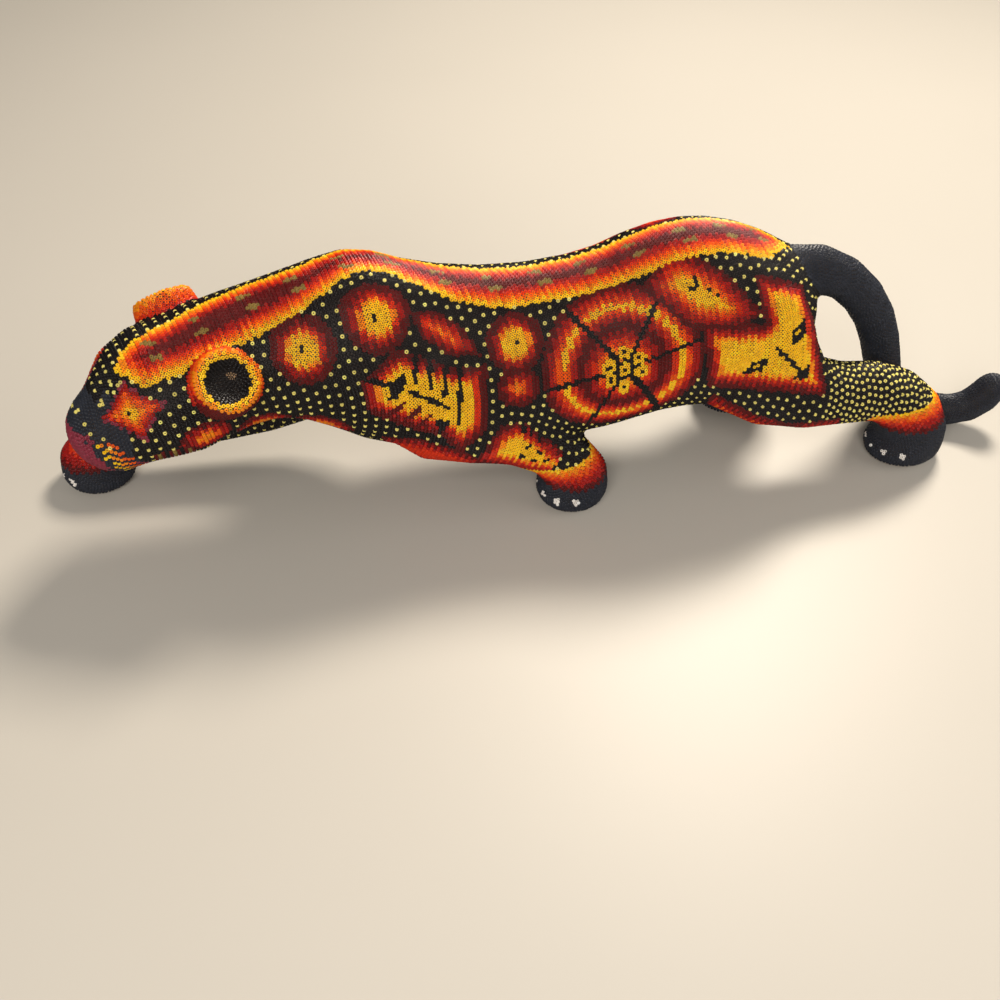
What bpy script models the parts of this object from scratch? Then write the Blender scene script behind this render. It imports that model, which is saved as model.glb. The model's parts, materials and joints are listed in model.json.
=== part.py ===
"""A stalking big cat carved from wood and covered in seed beads pressed into beeswax.

Frame: +X runs from nose to tail, +Y to the animal's right, +Z up, origin on the floor
under the middle of the figure's box.  The tables below are in millimetres.  The carving
is a trunk, a head, four lower legs, two ears and a tail, glued and dowelled together,
and each beaded field is a thin coat of wax and beads that lies on the wood.
"""

import bpy
import bmesh
import math
from mathutils import Vector

# ---------------------------------------------------------------- driving sizes (mm)
BEAD_COAT = 2.6          # wax bed and the beads in it
CLEARANCE = 0.35         # gap between any two neighbouring solids
TRUNK_WIDTH = 93.0       # widest part of the barrel, over the beads
TRUNK_HEIGHT = 105.0     # deepest part of the barrel, over the beads
HEAD_WIDTH = 78.0        # across the cheeks
HEAD_HEIGHT = 66.0       # crown to jaw
BAND_WIDTH = 33.0        # the beaded band along the spine
BAND_SHIFT = 4.5         # the band lies this far to the right of the middle plane
LEG_SET_IN = 14.5        # the middle of a leg lies this far inside the trunk's widest part
LEG_WIDTH = 37.0         # sideways thickness of a leg above its paw
PAW_WIDTH = 41.0         # sideways width of a paw
FORE_PAW_LENGTH = 44.0
HIND_PAW_LENGTH = 50.0
SOLE_LIFT = 0.6          # a paw's coat stops this far above the floor
TAIL_DIAMETER = 24.0     # along the arch of the tail
EAR_DIAMETER = 35.0
EAR_LENGTH = 22.0        # from inside the head out to the rim
EAR_BOWL_DIAMETER = 22.0
EAR_BOWL_DEPTH = 8.0
EAR_COAT = 2.0
EAR_LINING = 1.5
DOWEL_DIAMETER = 10.0
DOWEL_LENGTH = 36.0

FLANK_END = 115.0        # degrees from the spine to the edge of the belly

# ---------------------------------------------------------------- mesh fineness
LEG_SIDES = 14
TAIL_SIDES = 12
EAR_SIDES = 16
DOWEL_SIDES = 14
BAND_STEPS = 4           # faces across the band,
FLANK_STEPS = 6          # across each flank
BELLY_STEPS = 8          # and across the belly, in one ring of the spine
SHARP_ANGLE = 35.0       # degrees; edges sharper than this stay crisp

# Spine stations from nose to rump: x, y, z of the middle, then half width and half
# height as shares of half HEAD_WIDTH and HEAD_HEIGHT, or of the trunk's two sizes.
HEAD_STATIONS = (
    (-246.0, -31.0, 87.0, 0.10, 0.12),
    (-243.5, -30.0, 87.0, 0.31, 0.35),
    (-238.0, -27.8, 86.0, 0.47, 0.56),
    (-230.0, -24.5, 86.5, 0.59, 0.72),
    (-218.0, -19.0, 95.0, 0.83, 0.87),
    (-204.0, -13.0, 97.5, 0.97, 0.98),
    (-190.0, -8.0, 97.5, 1.00, 1.02),
    (-175.0, -4.0, 101.0, 0.98, 1.03),
    (-160.0, -1.5, 104.5, 0.95, 1.04),
    (-145.0, 0.0, 107.0, 0.95, 1.08),
    (-130.0, 0.0, 108.0, 1.00, 1.19),
)
TRUNK_STATIONS = (
    (-115.0, 0.0, 106.0, 0.91, 0.87),
    (-100.0, 0.0, 102.5, 0.97, 1.00),
    (-85.0, 0.0, 98.0, 0.99, 1.04),
    (-70.0, 0.0, 91.5, 0.99, 1.04),
    (-52.0, 0.0, 87.2, 0.99, 1.02),
    (-30.0, 0.0, 85.0, 0.98, 0.99),
    (-5.0, 0.0, 85.0, 0.97, 0.97),
    (18.0, 0.0, 86.5, 0.98, 0.98),
    (35.0, 0.0, 89.5, 0.99, 1.00),
    (50.0, 0.0, 94.5, 1.00, 1.03),
    (65.0, 0.0, 98.5, 1.00, 1.04),
    (80.0, 0.0, 100.0, 1.01, 1.04),
    (95.0, 0.0, 99.0, 1.01, 1.03),
    (110.0, 0.0, 97.0, 0.99, 0.99),
    (125.0, 0.0, 95.5, 0.90, 0.90),
    (140.0, 0.0, 95.5, 0.72, 0.74),
    (151.0, 0.0, 96.5, 0.48, 0.50),
    (157.0, 0.0, 98.0, 0.20, 0.22),
)
NOSE_RING = 2                           # the nose's coat ends at this station
MUZZLE_RING = 3                         # and the muzzle's at this one
NOSE_ROUNDING = 4                       # this many stations round off the nose
NECK_RING = len(HEAD_STATIONS) - 1      # the head is jointed to the trunk here
RUMP_RING = len(HEAD_STATIONS) + len(TRUNK_STATIONS) - 4    # the rump's coat starts here
RUMP_ROUNDING = 3                       # stations that round off the rump

# Paw rings, floor upwards: height, then a share of half the paw's length and width.
PAW_RINGS = ((0.0, 0.78), (3.0, 0.93), (9.5, 1.0))
CUFF_RINGS = 2                          # stations above the paw that the cuff's coat covers
# Leg stations above the paw: x, z, lean of the leg from upright in degrees (forwards is
# positive), half thickness fore and aft, half LEG_WIDTH share, inset towards the spine.
LEFT_FORELEG = (
    (17.0, 19.5, 12.0, 20.5, 1.06, 0.0),
    (11.0, 31.0, 38.0, 17.5, 0.97, 0.0),
    (1.0, 42.0, 52.0, 16.5, 0.95, 0.0),
    (-16.0, 54.5, 58.0, 18.5, 0.97, 0.0),
    (-34.0, 64.0, 58.0, 25.5, 1.00, 0.0),
    (-52.0, 75.0, 50.0, 33.0, 1.00, 0.0),
    (-66.0, 92.0, 36.0, 37.0, 1.00, 2.0),
    (-75.0, 109.0, 25.0, 32.0, 0.92, 5.0),
    (-80.0, 123.0, 20.0, 20.0, 0.72, 10.0),
)
RIGHT_FORELEG = (
    (-257.5, 17.5, -15.0, 20.0, 1.06, 0.0),
    (-251.0, 26.0, -45.0, 15.0, 0.95, 0.0),
    (-238.0, 31.0, -70.0, 14.5, 0.88, 0.0),
    (-213.0, 34.5, -82.0, 15.0, 0.85, 0.0),
    (-185.0, 37.0, -84.0, 15.5, 0.85, 0.0),
    (-155.0, 42.0, -76.0, 17.0, 0.90, 0.0),
    (-130.0, 51.0, -64.0, 20.0, 0.95, 0.0),
    (-111.0, 66.0, -48.0, 26.0, 1.00, 1.0),
    (-96.0, 84.0, -35.0, 32.0, 1.00, 3.0),
    (-85.0, 103.0, -25.0, 32.0, 0.92, 6.0),
    (-79.0, 119.0, -20.0, 22.0, 0.72, 10.0),
)
LEFT_HINDLEG = (
    (228.0, 19.5, 12.0, 23.2, 1.05, 0.0),
    (223.0, 32.0, 38.0, 20.5, 0.98, 0.0),
    (212.0, 45.0, 62.0, 18.5, 0.98, 0.0),
    (196.0, 53.5, 82.0, 17.5, 0.97, 0.0),
    (174.0, 55.5, 87.0, 18.5, 1.00, 0.0),
    (153.0, 59.0, 76.0, 22.5, 1.05, 0.0),
    (134.0, 70.0, 60.0, 31.0, 1.08, 1.0),
    (117.0, 87.0, 46.0, 38.0, 1.08, 3.0),
    (104.0, 105.0, 40.0, 37.0, 0.98, 6.0),
    (95.0, 121.0, 38.0, 26.0, 0.75, 11.0),
)
RIGHT_HINDLEG = (
    (140.0, 19.5, -6.0, 23.5, 1.05, 0.0),
    (143.0, 31.0, -14.0, 20.0, 0.98, 0.0),
    (148.0, 43.0, -14.0, 18.5, 0.98, 0.0),
    (150.0, 55.0, 8.0, 20.0, 1.00, 0.0),
    (145.0, 68.0, 32.0, 25.0, 1.05, 0.0),
    (132.0, 81.0, 44.0, 32.0, 1.08, 2.0),
    (116.0, 97.0, 44.0, 36.0, 1.02, 4.0),
    (103.0, 112.0, 40.0, 32.0, 0.88, 8.0),
    (95.0, 124.0, 38.0, 22.0, 0.72, 12.0),
)

# The station of each leg, counted from the sole, where the carver cut it from the trunk.
LEG_JOINTS = {"left_foreleg": 7, "right_foreleg": 9, "left_hindleg": 8, "right_hindleg": 7}

# Tail stations from the rump to the tip: x, y, z, share of half TAIL_DIAMETER.
TAIL_STATIONS = (
    (118.0, 0.0, 114.0, 1.30),
    (138.0, 0.0, 121.0, 1.25),
    (157.0, 0.0, 120.5, 1.14),
    (174.0, 0.0, 112.5, 1.04),
    (189.0, 0.0, 99.0, 1.00),
    (201.0, 0.0, 83.0, 0.98),
    (210.0, 0.5, 66.0, 0.96),
    (217.0, 1.0, 49.0, 0.94),
    (223.5, 2.0, 34.0, 0.90),
    (231.5, 2.0, 22.0, 0.87),
    (242.0, -1.5, 14.0, 0.85),
    (254.0, -9.0, 11.2, 0.84),
    (266.0, -15.0, 11.8, 0.84),
    (276.5, -18.0, 16.0, 0.85),
    (284.0, -18.5, 23.5, 0.87),
    (288.5, -18.0, 31.5, 0.80),
    (290.5, -17.5, 36.0, 0.55),
    (291.5, -17.5, 38.2, 0.22),
)

TAIL_JOINT = 2                          # the tail's dowel crosses the rump near this station
TAIL_DOWEL_BACK = 4.0                   # its middle lies this far before the station
TAIL_ROUNDING = 4                       # stations that round off the tip

EAR_STATION = (-178.5, -4.0, 108.0)     # on the head's middle plane, between the ears
EAR_SPREAD = 26.0                       # from there sideways to an ear's root
EAR_TILT = 45.0                         # degrees from upright, outwards
EAR_TURN = 25.0                         # degrees the ears are turned with the face

# An ear's outside: distance out from its root, share of half EAR_DIAMETER.
EAR_OUTLINE = ((-4.0, 0.86), (4.0, 0.97), (11.0, 1.0), (17.0, 0.97))
EAR_RIM_SHARES = (0.93, 0.84)           # the same share at the rim's two outer edges
EAR_RIM_LIP = 0.8                       # the rim's top starts this far outside the bowl
# The bowl below its lip: share of its depth, share of its radius.
EAR_BOWL_PROFILE = ((0.4, 0.9), (0.88, 0.6))

MM = 0.001

COLOURS = {
    "wood": ((0.48, 0.30, 0.16), 0.75),
    "dowel": ((0.62, 0.45, 0.27), 0.65),
    "band": ((0.75, 0.16, 0.02), 0.25),
    "black": ((0.012, 0.011, 0.012), 0.22),
    "dark": ((0.05, 0.035, 0.03), 0.22),
    "yellow": ((0.80, 0.50, 0.03), 0.25),
    "red": ((0.45, 0.02, 0.01), 0.25),
    "slate": ((0.05, 0.05, 0.06), 0.22),
    "mauve": ((0.22, 0.07, 0.09), 0.25),
}


# ---------------------------------------------------------------- scene and materials
def clear_scene():
    for obj in list(bpy.data.objects):
        bpy.data.objects.remove(obj, do_unlink=True)


def finish_material(piece_name, kind):
    """The piece's own Principled material, in one kind's colour and roughness."""
    colour, roughness = COLOURS[kind]
    material = bpy.data.materials.new(piece_name + "_finish")
    material.use_nodes = True
    shader = material.node_tree.nodes["Principled BSDF"]
    shader.inputs["Base Color"].default_value = (*colour, 1.0)
    shader.inputs["Roughness"].default_value = roughness
    shader.inputs["Metallic"].default_value = 0.0
    return material


def new_object(name, mesh):
    obj = bpy.data.objects.new(name, mesh)
    bpy.context.scene.collection.objects.link(obj)
    return obj


# ---------------------------------------------------------------- stations and rings
class Station:
    """One elliptical section: its middle, two axes, and the half size along each."""

    def __init__(self, middle, long_axis, side_axis, half_long, half_side):
        self.middle = Vector(middle)
        self.long_axis = Vector(long_axis)
        self.side_axis = Vector(side_axis)
        self.half_long = half_long
        self.half_side = half_side

    def towards(self, other, distance):
        """The section that distance along the straight run to another station."""
        share = distance / (other.middle - self.middle).length
        return Station(
            self.middle.lerp(other.middle, share),
            self.long_axis.lerp(other.long_axis, share),
            self.side_axis.lerp(other.side_axis, share),
            self.half_long + (other.half_long - self.half_long) * share,
            self.half_side + (other.half_side - self.half_side) * share,
        )


class Loft:
    """A row of stations, with the direction of travel at each."""

    def __init__(self, stations, round_start=0, round_end=0):
        self.stations = stations
        self.count = len(stations)
        self.round_start = round_start      # this many stations close a round end
        self.round_end = round_end

    def travel(self, index):
        before = self.stations[max(index - 1, 0)].middle
        after = self.stations[min(index + 1, self.count - 1)].middle
        return (after - before).normalized()

    def slope(self, index):
        """Angle at which the surface widens along the travel, at a rounded end."""
        rounded = index < self.round_start or index >= self.count - self.round_end
        if not rounded:
            return 0.0
        low, high = max(index - 1, 0), min(index + 1, self.count - 1)
        first, last = self.stations[low], self.stations[high]
        run = (last.middle - first.middle).length
        rise = (last.half_long + last.half_side - first.half_long - first.half_side) / 2
        return math.atan2(rise, run)

    def ring(self, index, grow, angles, slide=0.0):
        """Points round one station, grown outwards, or slid along the loft's surface."""
        station = self.stations[index]
        if slide:
            station = station.towards(self.stations[index + (1 if slide > 0 else -1)], abs(slide))
        slope = self.slope(index)
        middle = station.middle - self.travel(index) * (grow * math.sin(slope))
        spread = grow * math.cos(slope)
        half_long = station.half_long + spread
        half_side = station.half_side + spread
        return [
            middle
            + station.long_axis * (half_long * math.cos(angle))
            + station.side_axis * (half_side * math.sin(angle))
            for angle in angles
        ]


def even_angles(sides):
    return [2 * math.pi * step / sides for step in range(sides)]


def spine_angles():
    """Angles from the spine: the band, a flank, the belly and the other flank."""
    left = -math.asin((BAND_WIDTH / 2 - BAND_SHIFT) / (TRUNK_WIDTH / 2))
    right = math.asin((BAND_WIDTH / 2 + BAND_SHIFT) / (TRUNK_WIDTH / 2))
    low = math.radians(FLANK_END)
    marks = (
        (left, right, BAND_STEPS),
        (right, low, FLANK_STEPS),
        (low, 2 * math.pi - low, BELLY_STEPS),
        (2 * math.pi - low, 2 * math.pi + left, FLANK_STEPS),
    )
    return [first + (last - first) * step / steps
            for first, last, steps in marks for step in range(steps)]


# positions in spine_angles() of the fields' edges
BAND_FROM = 0
BAND_TO = BAND_FROM + BAND_STEPS
BELLY_FROM = BAND_TO + FLANK_STEPS
BELLY_TO = BELLY_FROM + BELLY_STEPS
RING_END = BELLY_TO + FLANK_STEPS


def spine_loft():
    stations = []
    tables = ((HEAD_STATIONS, HEAD_WIDTH, HEAD_HEIGHT), (TRUNK_STATIONS, TRUNK_WIDTH, TRUNK_HEIGHT))
    places = [Vector(row[:3]) for table, _, _ in tables for row in table]
    index = 0
    for table, width, height in tables:
        for x, y, z, wide, high in table:
            before, after = places[max(index - 1, 0)], places[min(index + 1, len(places) - 1)]
            heading = (after - before).to_2d().normalized()
            side = Vector((-heading.y, heading.x, 0.0))
            stations.append(Station((x, y, z), (0, 0, 1), side, high * height / 2, wide * width / 2))
            index += 1
    return Loft(stations, NOSE_ROUNDING, RUMP_ROUNDING)


def leg_loft(table, side, paw_length):
    """A leg from its sole up to where it is buried in the trunk; side is -1 for left."""
    stations = []
    stance = TRUNK_WIDTH / 2 - LEG_SET_IN
    foot_x = table[0][0]
    for height, share in PAW_RINGS:
        middle = (foot_x, side * stance, height)
        half_length, half_width = share * paw_length / 2, share * PAW_WIDTH / 2
        stations.append(Station(middle, (1, 0, 0), (0, 1, 0), half_length, half_width))
    for x, z, lean, half_long, share, inset in table:
        turn = math.radians(lean)
        long_axis = (math.cos(turn), 0.0, math.sin(turn))
        middle = (x, side * (stance - inset), z)
        stations.append(Station(middle, long_axis, (0, 1, 0), half_long, share * LEG_WIDTH / 2))
    return Loft(stations)


def tail_loft():
    places = [Vector(row[:3]) for row in TAIL_STATIONS]
    stations = []
    for index, place in enumerate(places):
        before, after = places[max(index - 1, 0)], places[min(index + 1, len(places) - 1)]
        travel = (after - before).normalized()
        side = Vector((0, 1, 0))
        side = (side - travel * side.dot(travel)).normalized()
        half = TAIL_STATIONS[index][3] * TAIL_DIAMETER / 2
        stations.append(Station(place, side.cross(travel), side, half, half))
    return Loft(stations, round_end=TAIL_ROUNDING)


# ---------------------------------------------------------------- solids from rings
def add_ring(bm, points):
    return [bm.verts.new(point * MM) for point in points]


def join_rows(bm, first, second, wrap):
    """Faces between two rows, split the same way on wood and coat so that they nest."""
    count = len(first)
    for here in range(count if wrap else count - 1):
        there = (here + 1) % count
        bm.faces.new((first[here], first[there], second[there]))
        bm.faces.new((first[here], second[there], second[here]))


def solid_mesh(name, bm):
    bmesh.ops.recalc_face_normals(bm, faces=bm.faces)
    mesh = bpy.data.meshes.new(name)
    bm.to_mesh(mesh)
    bm.free()
    return mesh


def solid_loft(name, loft, start, stop, grow, angles, slide_start=0.0, slide_stop=0.0):
    """A closed solid through stations start to stop, flat or nearly flat at its ends."""
    bm = bmesh.new()
    rows = []
    for index in range(start, stop + 1):
        slide = slide_start if index == start else (-slide_stop if index == stop else 0.0)
        rows.append(add_ring(bm, loft.ring(index, grow, angles, slide)))
    for first, second in zip(rows, rows[1:]):
        join_rows(bm, first, second, True)
    bm.faces.new(rows[0])
    bm.faces.new(rows[-1])
    return new_object(name, solid_mesh(name, bm))


def coat(name, loft, start, stop, angles, span=None, slides=(0.0, 0.0), closed=(False, False)):
    """A coat of beadwork over stations start to stop.

    span picks a run of the angles, for a field that doesn't go all the way round, and
    closed says at which end the coat runs on over a round end.
    """
    wrap = span is None
    bm = bmesh.new()
    layers = []
    for grow in (0.0, CLEARANCE - BEAD_COAT):
        rows = []
        for index in range(start, stop + 1):
            slide = slides[0] if index == start else (-slides[1] if index == stop else 0.0)
            used = angles if wrap else trimmed(angles, span, loft.stations[index])
            rows.append(add_ring(bm, loft.ring(index, grow, used, slide)))
        for first, second in zip(rows, rows[1:]):
            join_rows(bm, first, second, wrap)
        layers.append(rows)
    outer, inner = layers
    for end, is_closed in ((0, closed[0]), (-1, closed[1])):
        if is_closed:
            bm.faces.new(outer[end])
            bm.faces.new(inner[end])
        else:
            join_rows(bm, outer[end], inner[end], wrap)
    if not wrap:
        for edge in (0, -1):
            join_rows(bm, [row[edge] for row in outer], [row[edge] for row in inner], False)
    return new_object(name, solid_mesh(name, bm))


def trimmed(angles, span, station):
    """The angles from span[0] to span[1], drawn in by half a clearance at both edges."""
    first, last = span
    used = [angles[step % len(angles)] + (2 * math.pi if step >= len(angles) else 0.0)
            for step in range(first, last + 1)]
    nudge = CLEARANCE / 2 / min(station.half_long, station.half_side)
    used[0] += nudge
    used[-1] -= nudge
    return used


def turned(name, outline, root, axis, sides):
    """A solid of revolution: outline is a closed run of (along, radius) round the axis."""
    side = Vector((1, 0, 0)).cross(axis).normalized()
    other = axis.cross(side)
    bm = bmesh.new()
    rows = []
    for along, radius in outline:
        middle = root + axis * along
        if radius == 0.0:
            rows.append(add_ring(bm, [middle]))
            continue
        rows.append(add_ring(bm, [
            middle + side * (radius * math.cos(turn)) + other * (radius * math.sin(turn))
            for turn in even_angles(sides)
        ]))
    pairs = list(zip(rows, rows[1:]))
    if len(rows[0]) > 1:
        pairs.append((rows[-1], rows[0]))
    for first, second in pairs:
        if len(first) == 1 and len(second) == 1:
            continue
        if len(first) == 1 or len(second) == 1:
            tip, ring = (first, second) if len(first) == 1 else (second, first)
            for here in range(sides):
                bm.faces.new((tip[0], ring[here], ring[(here + 1) % sides]))
        else:
            join_rows(bm, first, second, True)
    return new_object(name, solid_mesh(name, bm))


def rod(name, middle, axis, radius, length):
    half = length / 2
    outline = ((-half, 0.0), (-half, radius), (half, radius), (half, 0.0))
    return turned(name, outline, middle, axis, DOWEL_SIDES)


# ---------------------------------------------------------------- cutting and joining
def combine(target, other, operation):
    """Boolean the other solid into target, apply it, and drop the other solid."""
    modifier = target.modifiers.new("combine", "BOOLEAN")
    modifier.operation = operation
    modifier.solver = "EXACT"
    modifier.object = other
    graph = bpy.context.evaluated_depsgraph_get()
    mesh = bpy.data.meshes.new_from_object(target.evaluated_get(graph))
    target.modifiers.clear()
    target.data = mesh
    bpy.data.objects.remove(other, do_unlink=True)


def keep_main_body(obj):
    """Remove the offcuts that a cut left beside the piece."""
    bm = bmesh.new()
    bm.from_mesh(obj.data)
    bmesh.ops.remove_doubles(bm, verts=bm.verts, dist=1e-6)
    unseen = set(bm.verts)
    bodies = []
    while unseen:
        queue = [unseen.pop()]
        body = list(queue)
        while queue:
            for edge in queue.pop().link_edges:
                for vert in edge.verts:
                    if vert in unseen:
                        unseen.remove(vert)
                        queue.append(vert)
                        body.append(vert)
        bodies.append(body)
    bodies.sort(key=len, reverse=True)
    for body in bodies[1:]:
        bmesh.ops.delete(bm, geom=body, context="VERTS")
    bm.to_mesh(obj.data)
    bm.free()


def finish(obj, kind):
    obj.data.materials.clear()
    obj.data.materials.append(finish_material(obj.name, kind))
    obj.data.shade_smooth()
    obj.data.set_sharp_from_angle(angle=math.radians(SHARP_ANGLE))
    return obj


# ---------------------------------------------------------------- the legs
class Leg:
    """A leg's loft, the ring where it is jointed, and the rings round its cuff."""

    def __init__(self, name, upper_name, table, side, paw_length):
        self.name = name
        self.upper_name = upper_name
        self.loft = leg_loft(table, side, paw_length)
        self.joint = LEG_JOINTS[name]
        self.cuff = len(PAW_RINGS)
        self.cuff_end = self.cuff + CUFF_RINGS
        self.top = self.loft.count - 1
        self.angles = even_angles(LEG_SIDES)

    def whole(self, grow):
        return solid_loft("leg", self.loft, 0, self.top, grow, self.angles)

    def upper_end(self):
        """The wood above the joint, which is carved in one with the trunk."""
        return solid_loft("leg", self.loft, self.joint, self.top, -BEAD_COAT, self.angles)

    def lower_end(self):
        """The wood below the joint."""
        return solid_loft("leg", self.loft, 0, self.joint, -BEAD_COAT, self.angles, 0.0, CLEARANCE)


def build_legs():
    return [
        Leg("left_foreleg", "left_shoulder", LEFT_FORELEG, -1, FORE_PAW_LENGTH),
        Leg("right_foreleg", "right_shoulder", RIGHT_FORELEG, 1, FORE_PAW_LENGTH),
        Leg("left_hindleg", "left_thigh", LEFT_HINDLEG, -1, HIND_PAW_LENGTH),
        Leg("right_hindleg", "right_thigh", RIGHT_HINDLEG, 1, HIND_PAW_LENGTH),
    ]


# ---------------------------------------------------------------- the ears
def ear_frame(side):
    """Root and axis of an ear; both follow the way the face is turned."""
    turn = math.radians(EAR_TURN)
    across = Vector((-math.sin(turn), math.cos(turn), 0.0)) * side
    tilt = math.radians(EAR_TILT)
    axis = across * math.sin(tilt) + Vector((0, 0, math.cos(tilt)))
    return Vector(EAR_STATION) + across * EAR_SPREAD, axis


def ear_outer(shrink):
    return [(along, share * EAR_DIAMETER / 2 - shrink) for along, share in EAR_OUTLINE]


def ear_bowl(grow):
    """The bowl's profile from its lip down to its middle."""
    radius = EAR_BOWL_DIAMETER / 2
    slant = grow * math.sqrt(0.5)
    (wall_depth, wall_share), (floor_depth, floor_share) = EAR_BOWL_PROFILE
    return [
        (EAR_LENGTH - EAR_COAT, radius + grow),
        (EAR_LENGTH - EAR_BOWL_DEPTH * wall_depth, radius * wall_share + grow),
        (EAR_LENGTH - EAR_BOWL_DEPTH * floor_depth - slant, radius * floor_share + slant),
        (EAR_LENGTH - EAR_BOWL_DEPTH - grow, 0.0),
    ]


def ear_core(name, root, axis):
    """The wooden cup."""
    outer = ear_outer(EAR_COAT)
    lip = EAR_LENGTH - EAR_COAT - CLEARANCE
    bowl = ear_bowl(EAR_LINING)
    bowl[0] = (lip, bowl[0][1])
    outline = [(outer[0][0], 0.0)] + outer + [(lip, outer[-1][1])] + bowl
    return turned(name, outline, root, axis, EAR_SIDES)


def ear_shell(name, root, axis, grow=0.0):
    """The coat outside the cup and over its rim; grown, it is a cutter."""
    lip = EAR_LENGTH - EAR_COAT
    outer = ear_outer(-grow)
    low_share, top_share = EAR_RIM_SHARES
    rim = [(lip, EAR_DIAMETER / 2 * low_share + grow),
           (EAR_LENGTH + grow, EAR_DIAMETER / 2 * top_share)]
    if grow:
        outline = [(outer[0][0], 0.0)] + outer + rim + [(EAR_LENGTH + grow, 0.0)]
    else:
        back = ear_outer(EAR_COAT - CLEARANCE)[::-1]
        bowl_radius = EAR_BOWL_DIAMETER / 2
        rim += [(EAR_LENGTH, bowl_radius + EAR_RIM_LIP), (lip + CLEARANCE, bowl_radius)]
        outline = outer + rim + [(lip, back[0][1])] + back
    return turned(name, outline, root, axis, EAR_SIDES)


def ear_lining(name, root, axis):
    outline = ear_bowl(0.0) + ear_bowl(EAR_LINING - CLEARANCE)[::-1]
    return turned(name, outline, root, axis, EAR_SIDES)


# ---------------------------------------------------------------- the whole figure
class Figure:
    """The figure's lofts, and the pieces made from them so far."""

    def __init__(self):
        self.spine = spine_loft()
        self.around = spine_angles()
        self.last = self.spine.count - 1
        self.legs = build_legs()
        self.tail = tail_loft()
        self.tail_around = even_angles(TAIL_SIDES)
        self.ear_frames = [(name, *ear_frame(side))
                           for name, side in (("left_ear", -1), ("right_ear", 1))]
        self.pieces = {}

    def keep(self, obj, name, kind):
        obj.name = name
        obj.data.name = name
        self.pieces[name] = finish(obj, kind)
        return obj

    def spine_solid(self, grow):
        return solid_loft("spine", self.spine, 0, self.last, grow, self.around)

    def tail_solid(self, grow):
        return solid_loft("tail", self.tail, 0, self.tail.count - 1, grow, self.tail_around)

    def cope(self, piece, grow):
        """Cut a piece back to the spine's surface, grown or shrunk, where it is seated."""
        combine(piece, self.spine_solid(grow), "DIFFERENCE")
        keep_main_body(piece)

    def dowel(self, name, middle, axis, cores):
        """A dowel across a joint, and its hole in both cores."""
        radius = DOWEL_DIAMETER / 2
        for core in cores:
            bore = rod("bore", middle, axis, radius + CLEARANCE, DOWEL_LENGTH + 4 * CLEARANCE)
            combine(core, bore, "DIFFERENCE")
        self.keep(rod(name, middle, axis, radius, DOWEL_LENGTH), name, "dowel")

    def wood(self):
        """The carved pieces and the dowels between them."""
        half = CLEARANCE / 2
        neck = self.spine.stations[NECK_RING].middle
        trunk = solid_loft("trunk", self.spine, NECK_RING, self.last, -BEAD_COAT, self.around, half)
        head = solid_loft("head", self.spine, 0, NECK_RING, -BEAD_COAT, self.around, 0.0, half)
        for leg in self.legs:
            combine(trunk, leg.upper_end(), "UNION")
        tail = self.tail_solid(-BEAD_COAT)
        self.cope(tail, CLEARANCE - BEAD_COAT)
        for name, root, axis in self.ear_frames:
            core = ear_core(name, root, axis)
            self.cope(core, CLEARANCE - BEAD_COAT)
            self.keep(core, name + "_core", "wood")
        self.dowel("neck_dowel", neck, self.spine.travel(NECK_RING), (trunk, head))
        for leg in self.legs:
            core = leg.lower_end()
            self.cope(core, CLEARANCE - BEAD_COAT)
            middle = leg.loft.stations[leg.joint].middle
            self.dowel(leg.name + "_dowel", middle, leg.loft.travel(leg.joint), (trunk, core))
            self.keep(core, leg.name + "_core", "wood")
        along = self.tail.travel(TAIL_JOINT)
        middle = self.tail.stations[TAIL_JOINT].middle - along * TAIL_DOWEL_BACK
        self.dowel("tail_dowel", middle, along, (trunk, tail))
        self.keep(trunk, "trunk_core", "wood")
        self.keep(head, "head_core", "wood")
        self.keep(tail, "tail_core", "wood")

    def spine_field(self, name, kind, start, stop, span, closed=(False, False)):
        """A beaded field along the spine, cut back to the legs, the ears and the tail."""
        half = CLEARANCE / 2
        slides = tuple(0.0 if end else half for end in closed)
        field = coat(name, self.spine, start, stop, self.around, span, slides, closed)
        for leg in self.legs:
            combine(field, leg.whole(CLEARANCE), "DIFFERENCE")
        for _, root, axis in self.ear_frames:
            combine(field, ear_shell("ear", root, axis, CLEARANCE), "DIFFERENCE")
        combine(field, self.tail_solid(CLEARANCE), "DIFFERENCE")
        keep_main_body(field)
        self.keep(field, name, kind)

    def spine_beadwork(self):
        """The fields over the head and trunk, from the nose to the rump."""
        head_end, rump = NECK_RING, RUMP_RING
        self.spine_field("nose_beadwork", "mauve", 0, NOSE_RING, None, (True, False))
        self.spine_field("muzzle_beadwork", "slate", NOSE_RING, MUZZLE_RING, None)
        self.spine_field("back_band_beadwork", "band", MUZZLE_RING, rump, (BAND_FROM, BAND_TO))
        self.spine_field("left_face_beadwork", "dark", MUZZLE_RING, head_end, (BELLY_TO, RING_END))
        self.spine_field("right_face_beadwork", "dark", MUZZLE_RING, head_end, (BAND_TO, BELLY_FROM))
        self.spine_field("throat_beadwork", "dark", MUZZLE_RING, head_end, (BELLY_FROM, BELLY_TO))
        self.spine_field("left_flank_beadwork", "red", head_end, rump, (BELLY_TO, RING_END))
        self.spine_field("right_flank_beadwork", "red", head_end, rump, (BAND_TO, BELLY_FROM))
        self.spine_field("belly_beadwork", "dark", head_end, rump, (BELLY_FROM, BELLY_TO))
        self.spine_field("rump_beadwork", "black", rump, self.last, None, (False, True))

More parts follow.
